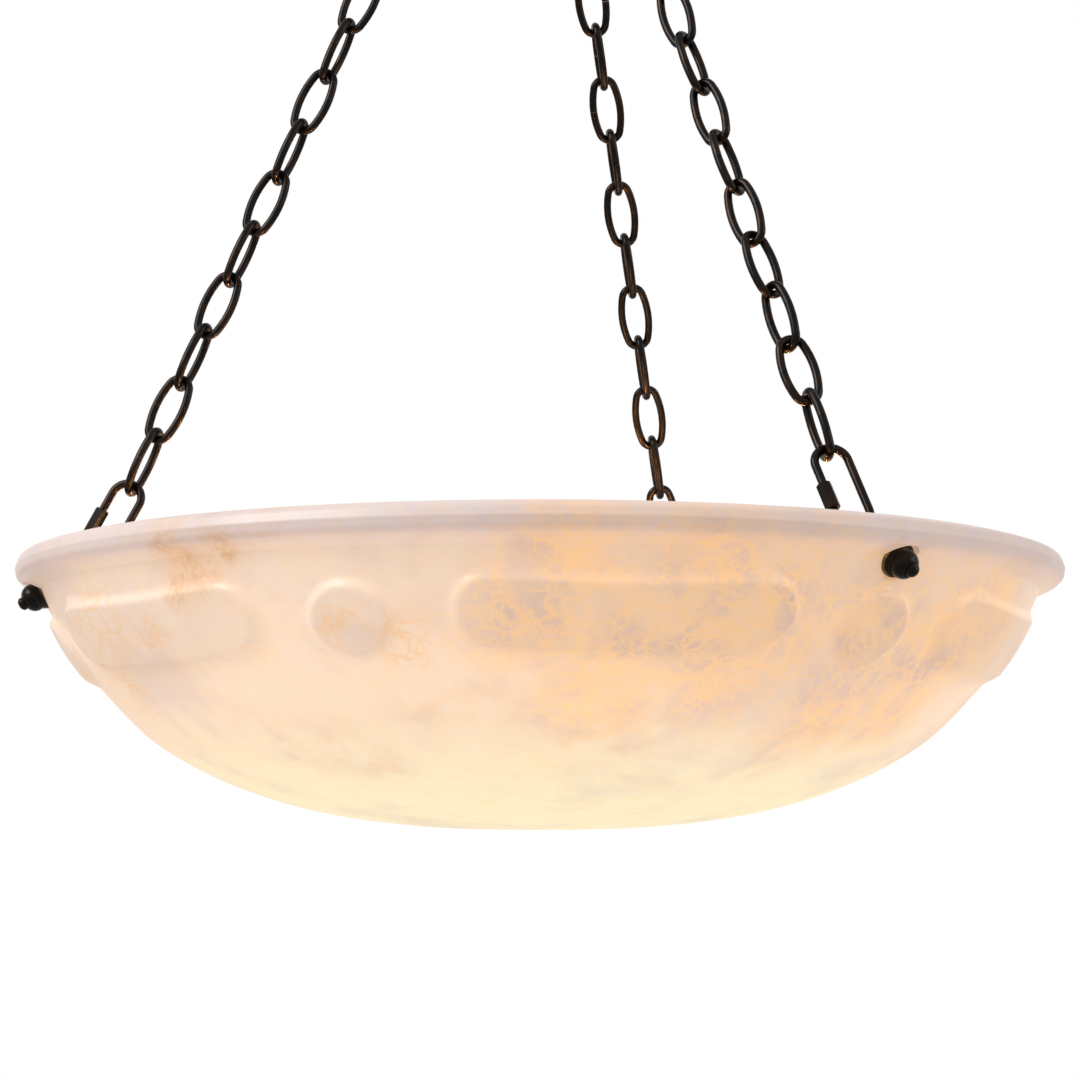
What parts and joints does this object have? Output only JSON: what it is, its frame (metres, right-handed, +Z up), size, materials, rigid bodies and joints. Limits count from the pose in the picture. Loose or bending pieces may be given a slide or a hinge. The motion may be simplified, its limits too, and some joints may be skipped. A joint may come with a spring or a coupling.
{
  "type": "alabaster bowl pendant",
  "caption": "Ceiling pendant with a carved, lit alabaster bowl hung by chains from a round metal canopy; holds bulbs inside the bowl and gives soft uplight and glow.",
  "frame": {"origin": "centre of the canopy, in the plane of the ceiling that the crossbar and the canopy rim lie against", "axes": "+Z up into the ceiling, +Y from the axis towards hanger a, +X along the crossbar; the picture looks from about 20 degrees to the +X side of -Y"},
  "size_m": [0.508, 0.508, 0.5353],
  "materials": {
    "alabaster": "honed, translucent, clouded with golden veins",
    "dark_bronze": "oil-rubbed bronze, satin",
    "antique_brass": "antique, satin",
    "zinc_steel": "zinc plated",
    "black_plastic": "moulded",
    "seal_rubber": "matt",
    "holder_brass": "bright",
    "cap_aluminium": "satin",
    "bulb_glass": "clear",
    "filament": "phosphor-coated"
  },
  "bodies": {
    "canopy": {"canopy_shell": "dark_bronze", "canopy_load_plate": "zinc_steel", "ceiling_crossbar": "zinc_steel", "threaded_nipple": "zinc_steel", "nipple_lock_nuts": "zinc_steel", "canopy_cap_nut": "dark_bronze", "cord_bushing": "black_plastic", "canopy_eye_nuts": "zinc_steel", "canopy_eye_bolt_a": "dark_bronze", "canopy_eye_bolt_b": "dark_bronze", "canopy_eye_bolt_c": "dark_bronze"},
    "bowl": {"alabaster_bowl": "alabaster", "inner_hanger_nuts": "zinc_steel", "inner_seal_washers": "seal_rubber", "outer_washers": "antique_brass", "lamp_spider": "dark_bronze", "cluster_body": "dark_bronze", "cluster_cover": "dark_bronze", "cluster_nipple": "zinc_steel", "cluster_lock_nut": "zinc_steel", "cord_gland": "black_plastic", "cover_screw": "dark_bronze", "cover_bridge": "zinc_steel", "holder_nipples": "zinc_steel", "finial_nut_a": "dark_bronze", "finial_nut_b": "dark_bronze", "finial_nut_c": "dark_bronze", "hanger_a_eye_bolt": "dark_bronze", "hanger_b_eye_bolt": "dark_bronze", "hanger_c_eye_bolt": "dark_bronze", "lampholder_1": "black_plastic", "lampholder_2": "black_plastic", "lampholder_3": "black_plastic", "holder_shell_1": "holder_brass", "holder_shell_2": "holder_brass", "holder_shell_3": "holder_brass"},
    "top_link_a": {"chain_a_top_link": "dark_bronze"},
    "top_link_b": {"chain_b_top_link": "dark_bronze"},
    "top_link_c": {"chain_c_top_link": "dark_bronze"},
    "chain_a": {"chain_a_links": "dark_bronze"},
    "quick_link_a": {"quick_link_a": "dark_bronze"},
    "chain_b": {"chain_b_links": "dark_bronze", "quick_link_b": "dark_bronze"},
    "chain_c": {"chain_c_links": "dark_bronze", "quick_link_c": "dark_bronze"},
    "sleeve_a": {"quick_link_a_sleeve": "dark_bronze"},
    "sleeve_b": {"quick_link_b_sleeve": "dark_bronze"},
    "sleeve_c": {"quick_link_c_sleeve": "dark_bronze"},
    "bulb_1": {"bulb_base_1": "cap_aluminium", "bulb_glass_1": "bulb_glass", "bulb_filament_1": "filament"},
    "bulb_2": {"bulb_base_2": "cap_aluminium", "bulb_glass_2": "bulb_glass", "bulb_filament_2": "filament"},
    "bulb_3": {"bulb_base_3": "cap_aluminium", "bulb_glass_3": "bulb_glass", "bulb_filament_3": "filament"}
  },
  "joints": [
    {"name": "front_back_sway", "type": "hinge", "parent": "canopy", "child": "top_link_a", "pos_m": [0, 0.05, -0.035], "axis": [1, 0, 0], "range_deg": [-4, 4]},
    {"name": "sideways_sway", "type": "hinge", "parent": "top_link_a", "child": "chain_a", "pos_m": [0, 0.06149, -0.06095], "axis": [0, 1, 0], "range_deg": [-4, 4]},
    {"name": "quick_link_a_sideways", "type": "hinge", "parent": "chain_a", "child": "quick_link_a", "pos_m": [0, 0.19936, -0.37236], "axis": [0, 1, 0], "range_deg": [-1.5, 1.5]},
    {"name": "bowl_on_quick_link_a", "type": "hinge", "parent": "quick_link_a", "child": "bowl", "pos_m": [0, 0.21725, -0.40588], "axis": [1, 0, 0], "range_deg": [-1.2, 1.2]},
    {"name": "top_link_b_front_back", "type": "hinge", "parent": "canopy", "child": "top_link_b", "pos_m": [0.0433, -0.025, -0.035], "axis": [1, 0, 0], "range_deg": [-4, 4]},
    {"name": "chain_b_sideways", "type": "hinge", "parent": "top_link_b", "child": "chain_b", "pos_m": [0.05325, -0.03074, -0.06095], "axis": [0, 1, 0], "range_deg": [-4, 4]},
    {"name": "top_link_c_front_back", "type": "hinge", "parent": "canopy", "child": "top_link_c", "pos_m": [-0.0433, -0.025, -0.035], "axis": [1, 0, 0], "range_deg": [-4, 4]},
    {"name": "chain_c_sideways", "type": "hinge", "parent": "top_link_c", "child": "chain_c", "pos_m": [-0.05325, -0.03074, -0.06095], "axis": [0, 1, 0], "range_deg": [-4, 4]},
    {"name": "sleeve_a_screw", "type": "slide", "parent": "quick_link_a", "child": "sleeve_a", "axis": [0, -0.471, 0.8821], "range_m": [0, 0.008]},
    {"name": "sleeve_b_screw", "type": "slide", "parent": "chain_b", "child": "sleeve_b", "axis": [-0.4079, 0.2355, 0.8821], "range_m": [0, 0.008]},
    {"name": "sleeve_c_screw", "type": "slide", "parent": "chain_c", "child": "sleeve_c", "axis": [0.4079, 0.2355, 0.8821], "range_m": [0, 0.008]},
    {"name": "bulb_1_out", "type": "slide", "parent": "bowl", "child": "bulb_1", "axis": [0, -1, 0], "range_m": [0, 0.025]},
    {"name": "bulb_2_out", "type": "slide", "parent": "bowl", "child": "bulb_2", "axis": [0.866, 0.5, 0], "range_m": [0, 0.025]},
    {"name": "bulb_3_out", "type": "slide", "parent": "bowl", "child": "bulb_3", "axis": [-0.866, 0.5, 0], "range_m": [0, 0.025]}
  ],
  "couplings": [
    {"joint": "bowl_on_quick_link_a", "follows": "front_back_sway", "ratio": -0.23015},
    {"joint": "quick_link_a_sideways", "follows": "sideways_sway", "ratio": -0.30525},
    {"joint": "top_link_b_front_back", "follows": "front_back_sway", "ratio": 1},
    {"joint": "chain_b_sideways", "follows": "sideways_sway", "ratio": 0.97033},
    {"joint": "top_link_c_front_back", "follows": "front_back_sway", "ratio": 1},
    {"joint": "chain_c_sideways", "follows": "sideways_sway", "ratio": 0.97033}
  ]
}
